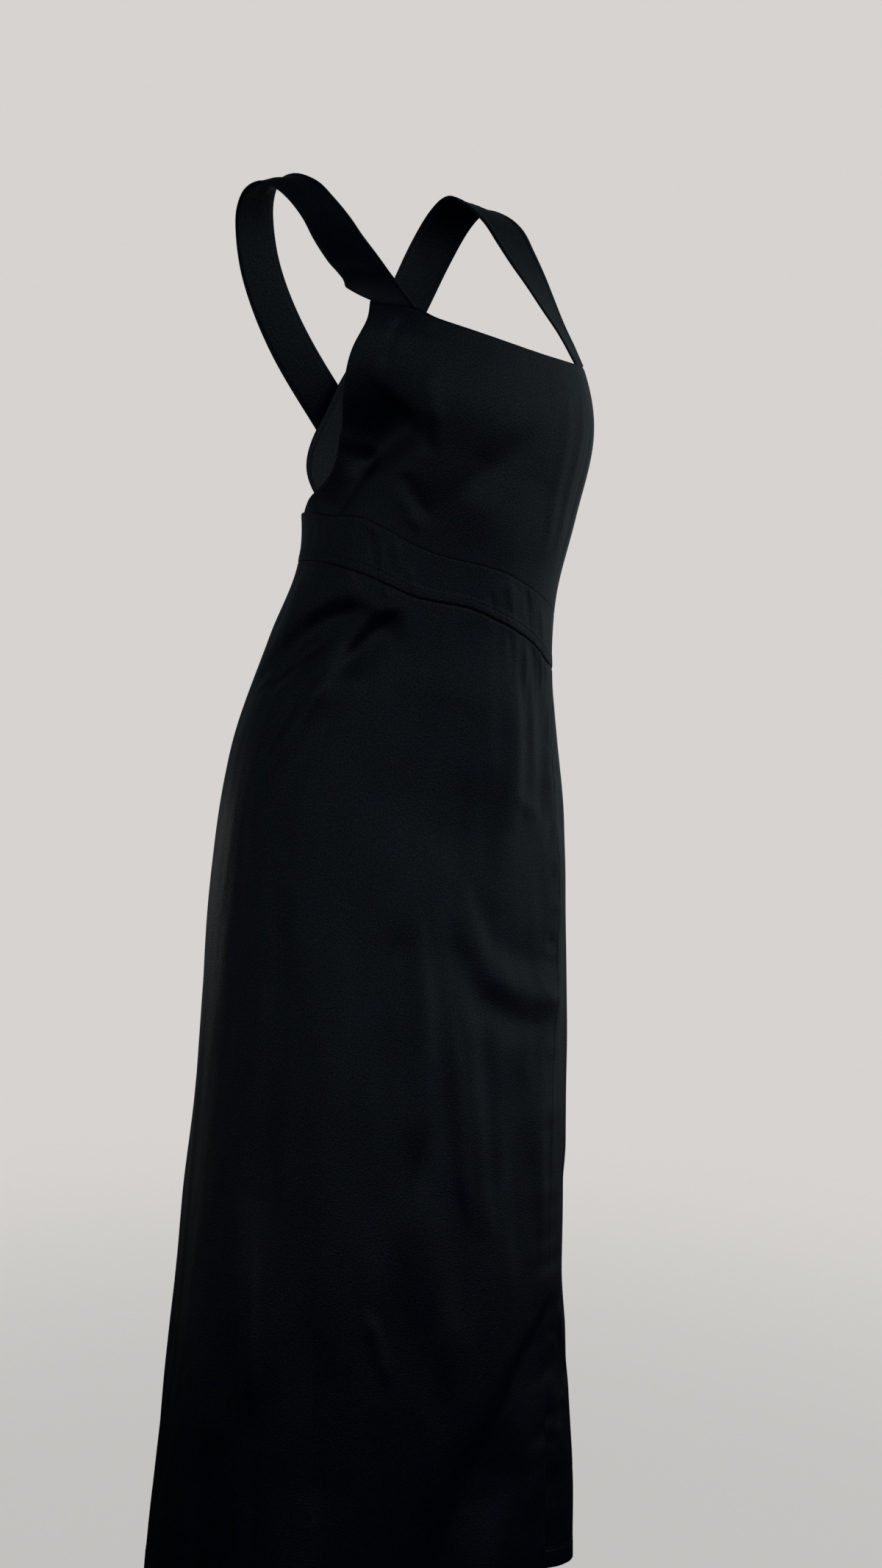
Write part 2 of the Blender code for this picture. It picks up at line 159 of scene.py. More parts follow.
def hang(turn, level, out=0.0, up=0.0):
    """Points on the outside of the worn dress, moved outwards by out and up by up."""
    angle = np.radians(turn)
    width = read_curve(RINGS, "level", level, "half_width")
    depth = np.where(np.cos(angle) > 0, read_curve(RINGS, "level", level, "front"),
                     read_curve(RINGS, "level", level, "back"))
    sine = np.sin(angle)
    cosine = np.cos(angle)
    fold = np.zeros_like(turn)
    for row in DEEP_FOLDS:
        (turn_top, top), (turn_bottom, bottom) = ((place, at / 1000) for place, at in row["path"])
        down = (top - level) / (top - bottom)
        middle = turn_top + (turn_bottom - turn_top) * down
        away = ((turn - middle + 180) % 360 - 180) / row["width"]
        depth_here = np.where((down > 0) & (down < 1), row["depth"] / 1000 * np.sin(np.pi * down), 0)
        fold += depth_here * np.exp(-away ** 2)
    nx = sine / width
    ny = -cosine / depth
    size = np.hypot(nx, ny)
    reach = out + fold
    tilt = read_curve(RINGS, "level", level, "tilt")
    return np.stack([
        CENTRE_X + width * sine + nx / size * reach,
        read_curve(RINGS, "level", level, "centre_y") - depth * cosine + ny / size * reach,
        level - 0.5 * tilt * sine + wander(turn, level) + up,
    ], axis=-1)


MEAN_RADIUS = 0.9
END_FADE = 0.3
END_WIDTH = 0.35


def creases(turn, level, rows):
    """How far small creases move the cloth out. A path's levels, the width and the height are in mm. Lean
    widens or narrows one side of a crease, and fade is the share of its length in which it dies away."""
    per_degree = np.radians(1000 * read_curve(RINGS, "level", level, "half_width") * MEAN_RADIUS)
    total = np.zeros_like(turn)
    for row in rows:
        nearest = np.full_like(turn, 1e9)
        run = np.zeros_like(turn)
        side = np.zeros_like(turn)
        path = [(place, at / 1000) for place, at in row["path"]]
        for count, ((turn_a, level_a), (turn_b, level_b)) in enumerate(zip(path, path[1:])):
            step_x = (turn_b - turn_a) * per_degree
            step_y = (level_b - level_a) * 1000
            x = ((turn - turn_a + 180) % 360 - 180) * per_degree
            y = (level - level_a) * 1000
            share = np.clip((x * step_x + y * step_y) / (step_x ** 2 + step_y ** 2), 0, 1)
            away = np.hypot(x - share * step_x, y - share * step_y)
            better = away < nearest
            nearest = np.where(better, away, nearest)
            run = np.where(better, (count + share) / (len(path) - 1), run)
            side = np.where(better, np.sign(x * step_y - y * step_x), side)
        ends = soft_step(run / END_FADE) * soft_step((1 - run) / row.get("fade", END_FADE))
        taper = END_WIDTH + (1 - END_WIDTH) * ends
        width = row["width"] * np.where(side > 0, 1, row.get("lean", 1.0)) * taper
        total += row["height"] / 1000 * ends * np.exp(-(nearest / width) ** 2)
    return total


SLACK_ROUND = 4.8
SLACK_DOWN = 7
FINE_PITCH = 2.3
FINE_SHARE = 0.45


def unevenness(turn, level, height):
    """Slight slackness, so that no stretch of cloth is perfectly smooth."""
    angle = np.radians(turn)
    x, y = SLACK_ROUND * np.cos(angle), SLACK_ROUND * np.sin(angle)
    spots = np.stack([x, y, level * SLACK_DOWN], axis=-1).reshape(-1, 3)
    wide = np.array([noise.noise(Vector(spot)) for spot in spots])
    fine = np.array([noise.noise(Vector(spot * FINE_PITCH)) for spot in spots])
    return height * (wide + FINE_SHARE * fine).reshape(turn.shape)


def stations(length, step, fine_places, fine=0.0008):
    """Places along a length, from 0 to 1: a step apart, and closer by its seams and stitched lines."""
    at = [0.0]
    while at[-1] < length:
        near = min(abs(at[-1] - place) for place in fine_places)
        at.append(at[-1] + min(step, fine + 0.25 * max(near - 0.003, 0.0)))
    return np.array(at) / at[-1]


def edge_distance(points, axis, backwards=False):
    """How far each grid point is along the cloth from its first or last row or column."""
    steps = np.linalg.norm(np.diff(points, axis=axis), axis=-1)
    start = np.zeros_like(np.take(steps, [0], axis=axis))
    total = np.concatenate([start, np.cumsum(steps, axis=axis)], axis=axis)
    return np.take(total, [-1], axis=axis) - total if backwards else total


def face_out(points):
    """The cloth's outward direction at each grid point."""
    along = np.gradient(points, axis=1)
    down = np.gradient(points, axis=0)
    normal = np.cross(down, along)
    return normal / np.linalg.norm(normal, axis=-1, keepdims=True)


# How far the cloth dips or steps at its edges, and over what width.
SEAM_DIP = 0.0005
SEAM_WIDTH = 0.0011
HEM_STEP = 0.0003
STEP_WIDTH = 0.0012
STITCH_DIP = 0.0004
STITCH_WIDTH = 0.0009
STITCH_IN = 0.0025
ROLL_DIP = 0.0004
ROLL_WIDTH = 0.0018
FACING = 0.010
FACING_FADE = 0.003
ROLL_FADE = 0.002
SKIRT_HEM = 0.020
SLIT_HEM = 0.012


def finish_edges(points, seams=(), faced=(), hemmed=(), slit=None, opened=0.0):
    """Draws seamed edges in, rolls faced ones and turns up hemmed ones. Returns points and thickness.
    The slit's edge is a seam where opened is 0, and a hem where it is 1."""
    distance = {
        "right": edge_distance(points, 1), "left": edge_distance(points, 1, True),
        "top": edge_distance(points, 0), "bottom": edge_distance(points, 0, True),
    }
    out = np.zeros(points.shape[:2])
    doubled = np.zeros(points.shape[:2])
    shares = [(edge, share, 0.0) for edge, share in seams] + [(edge, 0.0, 1.0) for edge in hemmed]
    if slit:
        shares.append((slit, 1 - opened, opened))
    for edge, seam_share, hem_share in shares:
        width = SLIT_HEM if edge == slit else SKIRT_HEM
        turned = soft_step((width - distance[edge]) / STEP_WIDTH)
        out -= seam_share * SEAM_DIP * np.exp(-(distance[edge] / SEAM_WIDTH) ** 2)
        out += hem_share * HEM_STEP * turned
        from_stitches = distance[edge] - width + STITCH_IN
        out -= hem_share * STITCH_DIP * np.exp(-(from_stitches / STITCH_WIDTH) ** 2)
        doubled = np.maximum(doubled, seam_share * soft_step((FACING - distance[edge]) / FACING_FADE))
        doubled = np.maximum(doubled, hem_share * turned)
    for edge in faced:
        out -= ROLL_DIP * np.exp(-(distance[edge] / ROLL_WIDTH) ** 2)
        doubled = np.maximum(doubled, soft_step((FACING - distance[edge]) / ROLL_FADE))
    thickness = SINGLE_CLOTH + (DOUBLE_CLOTH - SINGLE_CLOTH) * doubled
    return points + face_out(points) * out[..., None], thickness


def add_mesh(name, vertices, faces, material):
    """A smooth object of one material."""
    mesh = bpy.data.meshes.new(name)
    mesh.from_pydata(vertices.tolist(), [], faces.tolist())
    mesh.update()
    mesh.shade_smooth()
    mesh.materials.append(material)
    added = bpy.data.objects.new(name, mesh)
    bpy.context.scene.collection.objects.link(added)
    return added


# How far a rounded edge stands out, as a share of the thickness.
LIP_OUT = 0.35


def sew_panel(name, points, thickness, material):
    """A closed cloth shell with rounded edges, from a grid of outer points and a thickness at each."""
    rows, columns = points.shape[:2]
    inner = points - face_out(points) * thickness[..., None]
    ring = [(0, j) for j in range(columns)] + [(i, columns - 1) for i in range(1, rows)]
    ring += [(rows - 1, j) for j in range(columns - 2, -1, -1)] + [(i, 0) for i in range(rows - 2, 0, -1)]
    row_at = np.array([place[0] for place in ring])
    column_at = np.array([place[1] for place in ring])
    inside_row = np.clip(row_at, 1, rows - 2)
    inside_column = np.clip(column_at, 1, columns - 2)
    outward = points[row_at, column_at] - points[inside_row, inside_column]
    outward /= np.linalg.norm(outward, axis=-1, keepdims=True)
    lip = (points[row_at, column_at] + inner[row_at, column_at]) / 2
    lip = lip + outward * thickness[row_at, column_at][:, None] * LIP_OUT
    flat = rows * columns
    vertices = np.concatenate([points.reshape(-1, 3), inner.reshape(-1, 3), lip])
    number = np.arange(flat).reshape(rows, columns)
    a, b, c, d = number[:-1, :-1], number[:-1, 1:], number[1:, 1:], number[1:, :-1]
    outside = np.stack([d, c, b, a], axis=-1).reshape(-1, 4)
    inside = np.stack([a, b, c, d], axis=-1).reshape(-1, 4) + flat
    edge = number[row_at, column_at]
    following = np.roll(edge, -1)
    lips = 2 * flat + np.arange(len(ring))
    next_lips = np.roll(lips, -1)
    outer_rim = np.stack([edge, following, next_lips, lips], axis=-1)
    inner_rim = np.stack([lips, next_lips, following + flat, edge + flat], axis=-1)
    panel = add_mesh(name, vertices, np.concatenate([outside, inside, outer_rim, inner_rim]), material)
    across = edge_distance(points, 1)
    across = across - across[:, [columns // 2]]
    down = -edge_distance(points, 0)
    place = np.stack([across, down], axis=-1).reshape(-1, 2)
    place = np.concatenate([place, place, place[edge]])
    layer = panel.data.uv_layers.new(name="cloth")
    corner = np.zeros(len(panel.data.loops), dtype=np.int32)
    panel.data.loops.foreach_get("vertex_index", corner)
    layer.data.foreach_set("uv", place[corner].ravel())
    return panel


def from_hex(code):
    """An sRGB hex colour as linear values."""
    parts = [int(code[place:place + 2], 16) / 255 for place in (1, 3, 5)]
    linear = [part / 12.92 if part <= 0.04045 else ((part + 0.055) / 1.055) ** 2.4 for part in parts]
    return (*linear, 1.0)


def add_node(tree, kind, links=(), **settings):
    """Adds a node. A setting is an attribute, or an input where its name starts with an underscore."""
    node = tree.nodes.new(kind)
    for key, value in settings.items():
        if key.startswith("_"):
            label = key[1:]
            node.inputs[int(label) if label.isdigit() else label.replace("_", " ")].default_value = value
        else:
            setattr(node, key, value)
    for source, socket in links:
        tree.links.new(source, node.inputs[socket])
    return node


def satin_crepe(name):
    """Black polyester satin crepe, piece-dyed: warp floats give a dull lengthwise sheen over a dark,
    faintly pebbled ground, which breaks it up into flecks. The threads are 0.1 mm apart, so the grain is
    drawn at about 1 mm to show."""
    material = bpy.data.materials.new(name)
    material.use_nodes = True
    tree = material.node_tree
    shader = tree.nodes["Principled BSDF"]
    for socket, value in (
            ("Metallic", 0.0), ("IOR", 1.5), ("Specular IOR Level", 0.5), ("Anisotropic", 0.35),
            ("Sheen Weight", 0.015), ("Sheen Roughness", 0.35), ("Sheen Tint", from_hex("#c9d2d6"))):
        shader.inputs[socket].default_value = value
    place = add_node(tree, "ShaderNodeUVMap", uv_map="cloth").outputs[0]
    thread = add_node(tree, "ShaderNodeMapping", [(place, 0)], _Scale=(1000, 130, 1))
    floats = add_node(tree, "ShaderNodeTexNoise", [(thread.outputs[0], "Vector")], _Scale=0.9, _Detail=2.0)
    pebble = add_node(tree, "ShaderNodeTexNoise", [(place, "Vector")], _Scale=620, _Detail=1.0)
    dye = add_node(tree, "ShaderNodeTexNoise", [(place, "Vector")], _Scale=22, _Detail=3.0)
    tone = add_node(tree, "ShaderNodeValToRGB", [(dye.outputs[0], 0)])
    tone.color_ramp.elements[0].position = 0.35
    tone.color_ramp.elements[0].color = from_hex("#060b1f")
    tone.color_ramp.elements[1].position = 0.68
    tone.color_ramp.elements[1].color = from_hex("#090f27")
    tree.links.new(tone.outputs[0], shader.inputs["Base Color"])
    gloss = add_node(tree, "ShaderNodeMapRange", [(floats.outputs[0], 0)], _3=0.28, _4=0.49)
    tree.links.new(gloss.outputs[0], shader.inputs["Roughness"])
    flecks = add_node(tree, "ShaderNodeTexNoise", [(place, "Vector")], _Scale=760, _Detail=2.0)
    fleck = add_node(tree, "ShaderNodeMapRange", [(flecks.outputs[0], 0)],
                     _1=0.30, _2=0.70, _3=0.20, _4=0.80)
    tree.links.new(fleck.outputs[0], shader.inputs["Specular IOR Level"])
    grain = add_node(tree, "ShaderNodeMath", [(floats.outputs[0], 0), (pebble.outputs[0], 1)],
                     operation="ADD")
    relief = add_node(tree, "ShaderNodeBump", [(grain.outputs[0], "Height")],
                      _Strength=0.8, _Distance=0.0003)
    tree.links.new(relief.outputs[0], shader.inputs["Normal"])
    return material


# The creases of the skirt: those dragged up to the waistband over the right hip, the gathers and soft
# folds below it on the left, the ridges and troughs down the front, and the folds of the back.
HIP_DRAGS = (
    {"path": ((-41, -392), (-52, -401), (-62, -412), (-74, -428), (-84, -444), (-94, -459),
              (-106, -474)), "width": 12, "height": -9.5, "lean": 2.2},
    {"path": ((-33, -382), (-38, -400), (-42, -413), (-46, -428), (-50, -442), (-55, -460)), "width": 9,
     "height": -9, "lean": 2, "fade": 0.35},
    {"path": ((-58, -424), (-67, -435), (-76, -448), (-86, -465), (-97, -486)), "width": 7,
     "height": -5.5, "lean": 1.8, "fade": 0.4},
    {"path": ((-52, -446), (-58, -468), (-65, -504), (-74, -550)), "width": 9, "height": 3.2},
    {"path": ((-44, -455), (-52, -495), (-62, -545), (-70, -600)), "width": 14, "height": -2.4,
     "fade": 0.5},
    {"path": ((-62, -462), (-69, -496), (-78, -540)), "width": 7, "height": -3.2, "lean": 1.6},
    {"path": ((-92, -378), (-94, -425)), "width": 10, "height": 1, "fade": 0.5},
    {"path": ((-58, -366), (-51, -378)), "width": 3.5, "height": -1.1, "fade": 0.6},
    {"path": ((-44, -368), (-38, -384)), "width": 3.5, "height": 1, "fade": 0.6},
    {"path": ((0, -390), (-12, -460), (-22, -520), (-34, -600)), "width": 24, "height": -2},
    {"path": ((-2, -560), (-14, -600), (-26, -660)), "width": 22, "height": 2},
)
LEFT_FOLDS = (
    {"path": ((25, -366), (24, -400), (23, -440)), "width": 4, "height": 1.8, "fade": 0.6},
    {"path": ((37, -364), (39, -385), (37, -410)), "width": 3.5, "height": 1.5, "fade": 0.6},
    {"path": ((31, -366), (32, -390), (30, -430)), "width": 4, "height": -1.5, "fade": 0.6},
    {"path": ((44, -368), (46, -395)), "width": 4, "height": 1.3, "fade": 0.6},
    {"path": ((13, -366), (15, -385), (16, -410)), "width": 4, "height": -1, "fade": 0.6},
    {"path": ((7, -380), (9, -420), (11, -460), (12, -500), (13, -545), (12, -600)), "width": 62,
     "height": 5.5, "lean": 0.45, "fade": 0.5},
    {"path": ((46, -410), (40, -450), (36, -490), (33, -530)), "width": 9, "height": -2.6},
    {"path": ((16, -502), (26, -512), (38, -518)), "width": 9, "height": 1.1, "fade": 0.4},
)
SKIRT_RIDGES = (
    {"path": ((-1, -582), (2, -613), (5, -642), (10, -663), (19, -675), (32, -683), (46, -685)),
     "width": 15, "height": 2.2, "lean": 0.7, "fade": 0.1},
    {"path": ((3, -582), (7, -613), (11, -636), (19, -650), (30, -656), (46, -657)), "width": 8.5,
     "height": -2.2, "lean": 2.6, "fade": 0.1},
    {"path": ((30, -665), (34, -676), (38, -690)), "width": 3, "height": 0.9, "fade": 0.5},
    {"path": ((-6, -610), (-2, -655), (6, -690), (20, -708), (36, -712)), "width": 15, "height": -2.2},
    {"path": ((44, -480), (43, -560), (42, -640), (41, -740), (41, -830)), "width": 26, "height": 5,
     "fade": 0.4},
    {"path": ((44, -600), (37, -603)), "width": 3.5, "height": 1.2, "fade": 0.5},
    {"path": ((44, -638), (34, -634)), "width": 4, "height": -1.2, "fade": 0.5},
    {"path": ((44, -520), (36, -545)), "width": 4, "height": -1, "fade": 0.5},
    {"path": ((44, -560), (38, -570)), "width": 4, "height": 0.9, "fade": 0.5},
    {"path": ((-15, -600), (-12, -690), (-11, -740), (-13, -800), (-14, -865)), "width": 10,
     "height": 4, "lean": 0.8},
    {"path": ((-15, -820), (-13, -880), (-7, -940), (-1, -990), (2, -1060)), "width": 20, "height": 2.6,
     "lean": 0.8},
    {"path": ((-23, -680), (-22, -800), (-23, -960)), "width": 9, "height": -2},
    {"path": ((-4, -680), (-2, -735), (0, -790), (2, -850), (5, -890)), "width": 6.5, "height": 2.4},
    {"path": ((8, -700), (11, -800), (14, -900)), "width": 9, "height": -2},
    {"path": ((20, -720), (22, -820), (24, -960)), "width": 16, "height": -2.2},
    {"path": ((34, -720), (34, -820), (35, -940)), "width": 10, "height": 1.8},
    {"path": ((-40, -600), (-38, -800), (-36, -1060)), "width": 17, "height": 2.6},
    {"path": ((-56, -600), (-57, -780), (-58, -1040)), "width": 14, "height": -2.8},
    {"path": ((-25, -955), (-21, -990), (-17, -1030)), "width": 5, "height": 1.8},
    {"path": ((-60, -900), (-57, -1000), (-54, -1080)), "width": 4.5, "height": 1.5},
    {"path": ((-62, -690), (-64, -740), (-67, -790)), "width": 3.5, "height": 1.2},
    {"path": ((-56, -600), (-58, -660)), "width": 5, "height": 0.8},
    {"path": ((-72, -1080), (-71, -1180), (-70, -1290)), "width": 8, "height": -2.4, "fade": 0.1},
    {"path": ((-54, -1080), (-52, -1180), (-51, -1290)), "width": 8, "height": -2.2, "fade": 0.1},
    {"path": ((46, -960), (38, -990), (28, -1020), (18, -1065), (9, -1115), (2, -1165), (-6, -1290)),
     "width": 14, "height": -6.5, "lean": 5.4, "fade": 0.05},
    {"path": ((16, -1060), (7, -1115), (-1, -1165), (-10, -1290)), "width": 26, "height": -3.2,
     "lean": 2.6, "fade": 0.05},
    {"path": ((-100, -640), (-104, -900), (-104, -1280)), "width": 10, "height": 1.6, "fade": 0.1},
    {"path": ((-120, -800), (-121, -1000), (-120, -1180)), "width": 14, "height": 4.5},
)
BACK_FOLDS = (
    {"path": ((58, -820), (60, -920), (60, -1020)), "width": 14, "height": -4},
    {"path": ((58, -1030), (60, -1120), (60, -1300)), "width": 14, "height": 2, "fade": 0.05},
    {"path": ((62, -520), (60, -800), (62, -1280)), "width": 9, "height": 1.6, "fade": 0.1},
    {"path": ((96, -480), (98, -900), (97, -1280)), "width": 9, "height": -1.8, "fade": 0.1},
    {"path": ((128, -380), (130, -440)), "width": 4, "height": -1.2, "fade": 0.6},
    {"path": ((132, -560), (132, -900), (134, -1280)), "width": 9, "height": 1.8, "fade": 0.1},
    {"path": ((150, -375), (147, -450)), "width": 4, "height": -1.4, "fade": 0.6},
    {"path": ((164, -600), (162, -900), (164, -1280)), "width": 9, "height": -1.6, "fade": 0.1},
    {"path": ((172, -375), (174, -460)), "width": 4, "height": -1.3, "fade": 0.6},
    {"path": ((190, -520), (191, -900), (190, -1280)), "width": 9, "height": 1.5, "fade": 0.1},
    {"path": ((206, -380), (210, -470), (214, -540)), "width": 5, "height": -1.6, "fade": 0.6},
    {"path": ((216, -640), (218, -900), (217, -1280)), "width": 8, "height": 1.3, "fade": 0.1},
    {"path": ((49, -975), (53, -1010), (57, -1045)), "width": 5, "height": 1.6},
    {"path": ((58, -1045), (59, -1085)), "width": 5, "height": -1.6, "fade": 0.5},
    {"path": ((52, -1075), (57, -1100)), "width": 3, "height": 1.3, "fade": 0.5},
    {"path": ((49, -1105), (50, -1150)), "width": 6, "height": 1.3, "fade": 0.5},
    {"path": ((60, -1160), (57, -1190)), "width": 5, "height": -1.4, "fade": 0.5},
)
SKIRT_CREASES = HIP_DRAGS + LEFT_FOLDS + SKIRT_RIDGES + BACK_FOLDS
SKIRT_SLACK = 0.0014
SEAM_PUCKER = 0.0018
PUCKER_TURN = 9


def right_seam(level):
    return read_curve(SIDE_SEAMS, "level", level, "right")


def left_seam(level):
    return read_curve(SIDE_SEAMS, "level", level, "left")


def side_pucker(turn, level):
    """The ripples that run off the left side seam, on both panels: about 40 mm long, with 16 mm ones."""
    ripples = np.array([noise.noise(Vector((3.1, 0.7, at * 26)))
                        + 0.6 * noise.noise(Vector((7.4, 2.2, at * 61))) for at in level[:, 0]])
    return SEAM_PUCKER * ripples[:, None] * np.exp(-((turn - left_seam(level)) / PUCKER_TURN) ** 2)


def skirt_relief(turn, level):
    """How far the skirt's cloth stands off the form that it hangs on."""
    out = creases(turn, level, SKIRT_CREASES) + unevenness(turn, level, SKIRT_SLACK)
    return out + side_pucker(turn, level)


def slit_open(level):
    """How far the slit's edges are apart, from 0 at its top to 1 at the hem."""
    return soft_step((SLIT_TOP - level) / (SLIT_TOP - HEM_LEVEL))


def slit_hemmed(level):
    """0 where the left edge is a seam, above the slit's top, and 1 where it is a hem, below it."""
    return soft_step((SLIT_TOP + SLIT_CHANGE / 2 - level) / SLIT_CHANGE)


def lay_out(shares, levels, first_edge, last_edge):
    """Turns and levels of a panel's grid between its two side edges."""
    level = np.repeat(levels[:, None], len(shares), axis=1)
    first = first_edge(levels)[:, None]
    last = last_edge(levels)[:, None]
    return first + (last - first) * shares[None, :], level


# The nominal sizes for which the lines of the panels' grids are spaced.
SKIRT_LENGTH = 0.90
FRONT_WIDTH = 0.60
hem_stitches = SKIRT_LENGTH - SKIRT_HEM + STITCH_IN
skirt_rows = stations(SKIRT_LENGTH, 0.0047, (0.0, hem_stitches, SKIRT_LENGTH))
skirt_levels = WAIST_LEVEL + (HEM_LEVEL - WAIST_LEVEL) * skirt_rows
skirt_columns = stations(FRONT_WIDTH, 0.0038, (0.0, FRONT_WIDTH - SLIT_HEM, FRONT_WIDTH))
turn, level = lay_out(skirt_columns, skirt_levels, right_seam,
                      lambda at: left_seam(at) - SLIT_TURN * slit_open(at))
points, thickness = finish_edges(hang(turn, level, skirt_relief(turn, level)),
                                 seams=(("top", 1.0), ("right", 1.0)), hemmed=("bottom",),
                                 slit="left", opened=slit_hemmed(level))
satin = satin_crepe("black_satin_crepe")
front_skirt = sew_panel("front_skirt_panel", points, thickness, satin)
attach(front_skirt, "root")
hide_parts("skirt_front")
front_skirt_points = points

# ---- Back of the skirt ----
# The same cloth and length, cut wider. It hangs in long shallow folds from the seat, and its left edge
# swings out and lifts at the slit, where it is hemmed like the front's.

BACK_WIDTH = 0.66
SLIT_SWING = 0.007
SWING_TURN = 18
SWING_WIDTH = 13
SLIT_TUCK = 0.006
TUCK_WIDTH = 6
SLIT_LIFT = 0.034
LIFT_REACH = 65.0
LIFT_CURVE = 1.3
turn, level = lay_out(stations(BACK_WIDTH, 0.0042, (0.0, SLIT_HEM, BACK_WIDTH)), skirt_levels, left_seam,
                      lambda at: right_seam(at) + 360)
from_slit = turn - turn[:, :1]
swing = slit_open(level) * (SLIT_SWING * np.exp(-((from_slit - SWING_TURN) / SWING_WIDTH) ** 2)
                            - SLIT_TUCK * np.exp(-(from_slit / TUCK_WIDTH) ** 2))
lift = SLIT_LIFT * slit_open(level) * np.clip(1 - from_slit / LIFT_REACH, 0, 1) ** LIFT_CURVE
points, thickness = finish_edges(hang(turn, level, skirt_relief(turn, level) + swing, lift),
                                 seams=(("top", 1.0), ("left", 1.0)), hemmed=("bottom",),
                                 slit="right", opened=slit_hemmed(level))
back_skirt = sew_panel("back_skirt_panel", points, thickness, satin)
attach(back_skirt, "root")
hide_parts("skirt_back")
back_skirt_points = points

# ---- Waistband ----
# A straight band set in between bib and skirt, doubled and pressed, with a row of topstitching 8 mm
# above the waist seam. It puckers a little where the dress is pulled askew.

TOPSTITCH_UP = 0.008
BAND_STEP = 0.0004
BAND_PUCKERS = (
    {"path": ((-46, -335), (-44, -368)), "width": 2.5, "height": 0.9, "fade": 0.4},
    {"path": ((-33, -345), (-31, -368)), "width": 2.5, "height": 0.8, "fade": 0.4},
    {"path": ((-76, -328), (-70, -362)), "width": 7, "height": 1.2, "fade": 0.4},
    {"path": ((2, -345), (5, -368)), "width": 2.5, "height": -0.7, "fade": 0.4},
    {"path": ((-40, -326), (-38, -360)), "width": 3.5, "height": 0.9, "fade": 0.6},
    {"path": ((-52, -330), (-48, -368)), "width": 3.5, "height": -0.8, "fade": 0.6},
    {"path": ((-84, -335), (-92, -362)), "width": 4, "height": -0.6, "fade": 0.6},
    {"path": ((10, -326), (16, -366)), "width": 5, "height": 0.9, "fade": 0.6},
    {"path": ((22, -326), (28, -368)), "width": 4, "height": -0.9, "fade": 0.6},
    {"path": ((34, -330), (42, -368)), "width": 4.5, "height": 0.9, "fade": 0.6},
)
BAND_SLACK = 0.0005
WAIST_RADIUS = 115
PUCKER_PITCH = 5.5
PUCKER_RISE = 0.0003
BIB_SEAM = 0.4


def stitch_pull(turn):
    """How hard the topstitching pulls: it sinks out of sight across the front of the waist."""
    return 0.15 + 0.85 * soft_step((-30 - turn) / 10) + 0.6 * soft_step((turn + 10) / 10)


def make_band(name, node, first_edge, last_edge, width, puckers):
    stitched = BAND_HEIGHT - TOPSTITCH_UP
    rows = stations(BAND_HEIGHT, 0.003, (0.0, stitched, BAND_HEIGHT))
    levels = BAND_TOP + (WAIST_LEVEL - BAND_TOP) * rows
    turn, level = lay_out(stations(width, 0.0013, (0.0, width)), levels, first_edge, last_edge)
    out = creases(turn, level, puckers) + unevenness(turn, level, BAND_SLACK)
    above = level - WAIST_LEVEL - TOPSTITCH_UP
    pull = stitch_pull(turn)
    out += BAND_STEP * soft_step(-above / 0.004 + 1)
    out -= STITCH_DIP * pull * np.exp(-(above / STITCH_WIDTH) ** 2)
    run = np.radians(turn) * WAIST_RADIUS / PUCKER_PITCH
    ripple = np.sin(2 * math.pi * run + 2.5 * np.sin(run * 0.9)) * (0.55 + 0.45 * np.sin(run * 0.53))
    out += PUCKER_RISE * pull * ripple * np.exp(-((above + 0.003) / 0.0055) ** 2)
    points, thickness = finish_edges(hang(turn, level, out), seams=(
        ("top", BIB_SEAM), ("bottom", 1.0), ("right", 1.0), ("left", 1.0)))
    band = sew_panel(name, points, np.maximum(thickness, DOUBLE_CLOTH), satin)
    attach(band, "root")
    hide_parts(node)
    return points


front_band_points = make_band("front_waistband", "waistband_front", right_seam, left_seam,
                              width=0.34, puckers=BAND_PUCKERS)
back_band_points = make_band("back_waistband", "waistband_back", left_seam,
                             lambda at: right_seam(at) + 360, width=0.35, puckers=())

# ---- Bib ----
# A single layer, narrow at the top and shaped out to the side seams, with a facing turned in along the
# neckline and narrow hems down both sides. It is pulled smooth over the bust and sinks in below it.

BIB_TOP = -0.133
NECKLINE_SAG = 0.012
BIB_EDGES = (
    {"down": 0.00, "right": -44, "left": 54},
    {"down": 0.10, "right": -46, "left": 56},
    {"down": 0.25, "right": -52, "left": 58},
    {"down": 0.42, "right": -57, "left": 60},
    {"down": 0.66, "right": -64, "left": 62},
    {"down": 0.84, "right": -74, "left": 63},
    {"down": 1.00, "right": -100, "left": 64},
)
BIB_CREASES = (
    {"path": ((10, -90), (10, -200), (8, -310)), "width": 52, "height": -6.5},
    {"path": ((-34, -106), (-26, -106), (-14, -108), (10, -112), (60, -110)), "width": 36,
     "height": 11},
    {"path": ((40, -162), (26, -186), (12, -212), (2, -236), (-8, -260), (-18, -284)), "width": 13,
     "height": -2.2, "lean": 1.6},
    {"path": ((-27, -178), (-27, -205), (-26, -238)), "width": 5, "height": 2.4},
    {"path": ((-35, -145), (-38, -165), (-43, -192)), "width": 4, "height": -2, "lean": 0.6,
     "fade": 0.2},
    {"path": ((-30, -221), (-35, -232), (-43, -247), (-54, -266), (-68, -292)), "width": 25,
     "height": -13.5, "lean": 0.7},
    {"path": ((-50, -262), (-58, -284), (-70, -316), (-84, -342)), "width": 20, "height": -9,
     "lean": 0.5},
    {"path": ((-56, -252), (-53, -268)), "width": 3.5, "height": 1.2, "fade": 0.5},
    {"path": ((-40, -272), (-34, -288), (-26, -308)), "width": 7, "height": -2.8},
    {"path": ((-38, -292), (-34, -302), (-30, -318)), "width": 5, "height": 1.8, "fade": 0.4},
    {"path": ((28, -160), (28, -230), (30, -300)), "width": 6, "height": 1.1},
    {"path": ((37, -155), (37, -225), (39, -300)), "width": 4.5, "height": 1.1},
    {"path": ((45, -160), (46, -240), (48, -310)), "width": 4, "height": -1},
)
CORNER_RISE = 0.0055
CORNER_TURN = -31
